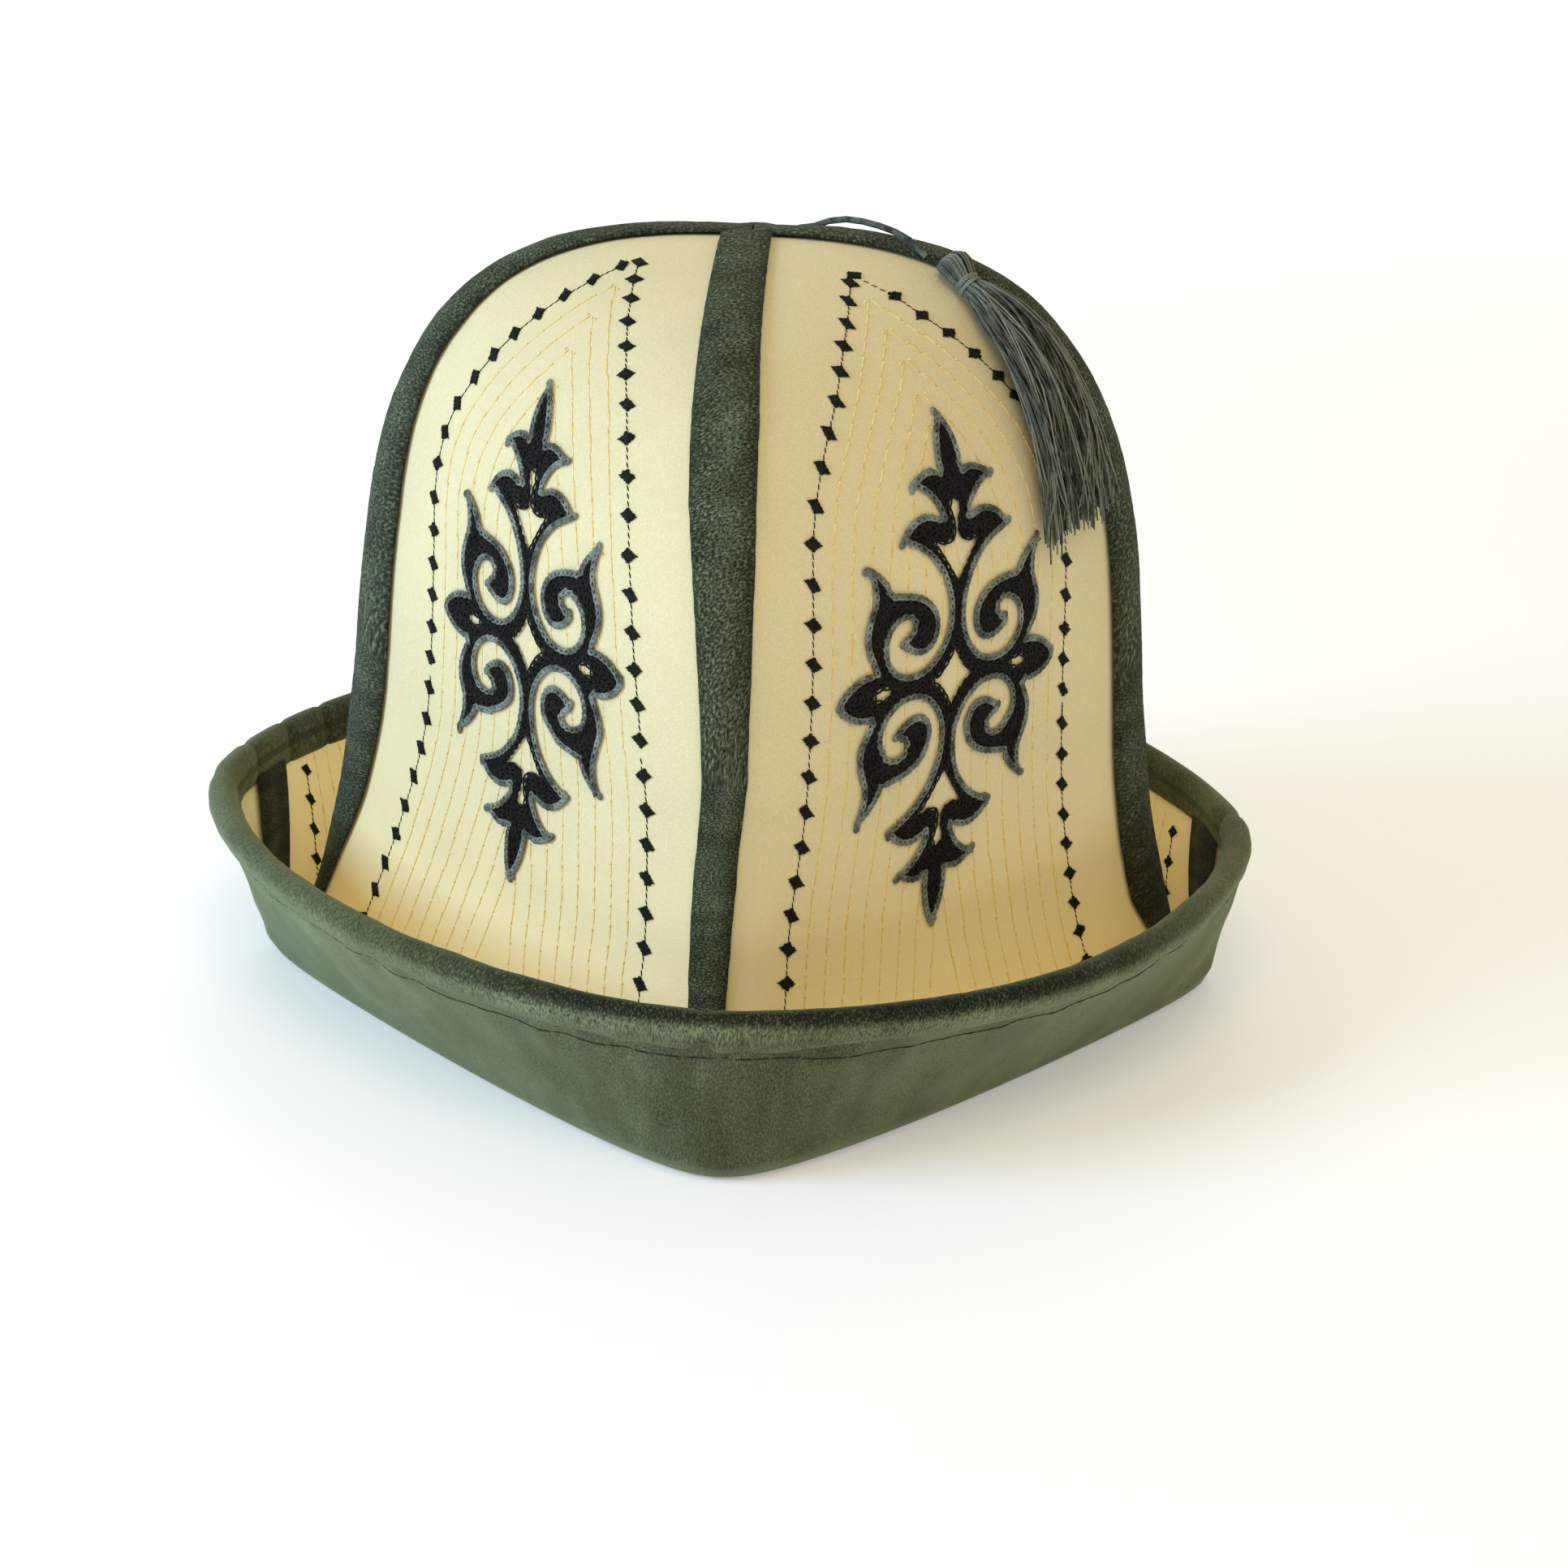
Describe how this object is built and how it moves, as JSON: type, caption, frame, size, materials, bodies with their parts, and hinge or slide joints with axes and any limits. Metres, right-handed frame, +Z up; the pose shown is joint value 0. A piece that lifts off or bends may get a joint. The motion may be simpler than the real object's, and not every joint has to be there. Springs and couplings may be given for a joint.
{
  "type": "kalpak felt hat",
  "caption": "Traditional Kyrgyz kalpak of cream felt: tall gored crown, dark velvet seam strips, embroidered scroll ornaments, turned-up velvet-faced brim and a tassel.",
  "frame": {"origin": "bottom centre of the hat's outline, on the surface that its folded lower edge rests on", "axes": "+Z up through the crown, -Y towards the front seam, +X towards the right of a viewer in front"},
  "size_m": [0.236, 0.2391, 0.1718],
  "materials": {
    "felt_cream": "matte wool felt with black, gold and grey-blue embroidery",
    "velvet_strip": "dark grey-green cotton velvet with a short nap",
    "velvet_brim": "sage green cotton velvet with a short nap",
    "velvet_roll": "sage green cotton velvet rolled over the rim",
    "thread_blue_grey": "soft twisted embroidery thread"
  },
  "bodies": {
    "root": {"gore_front_left": "felt_cream", "gore_front_right": "felt_cream", "gore_back_left": "felt_cream", "gore_back_right": "felt_cream", "brim_felt_front_left": "felt_cream", "brim_felt_front_right": "felt_cream", "brim_felt_back_left": "felt_cream", "brim_felt_back_right": "felt_cream", "seam_strip_front": "velvet_strip", "seam_strip_back": "velvet_strip", "seam_strip_left": "velvet_strip", "seam_strip_right": "velvet_strip", "brim_facing_front_left": "velvet_brim", "brim_facing_front_right": "velvet_brim", "brim_facing_back_left": "velvet_brim", "brim_facing_back_right": "velvet_brim", "rim_roll": "velvet_roll", "tassel": "thread_blue_grey", "tassel_cord": "thread_blue_grey"}
  },
  "joints": []
}
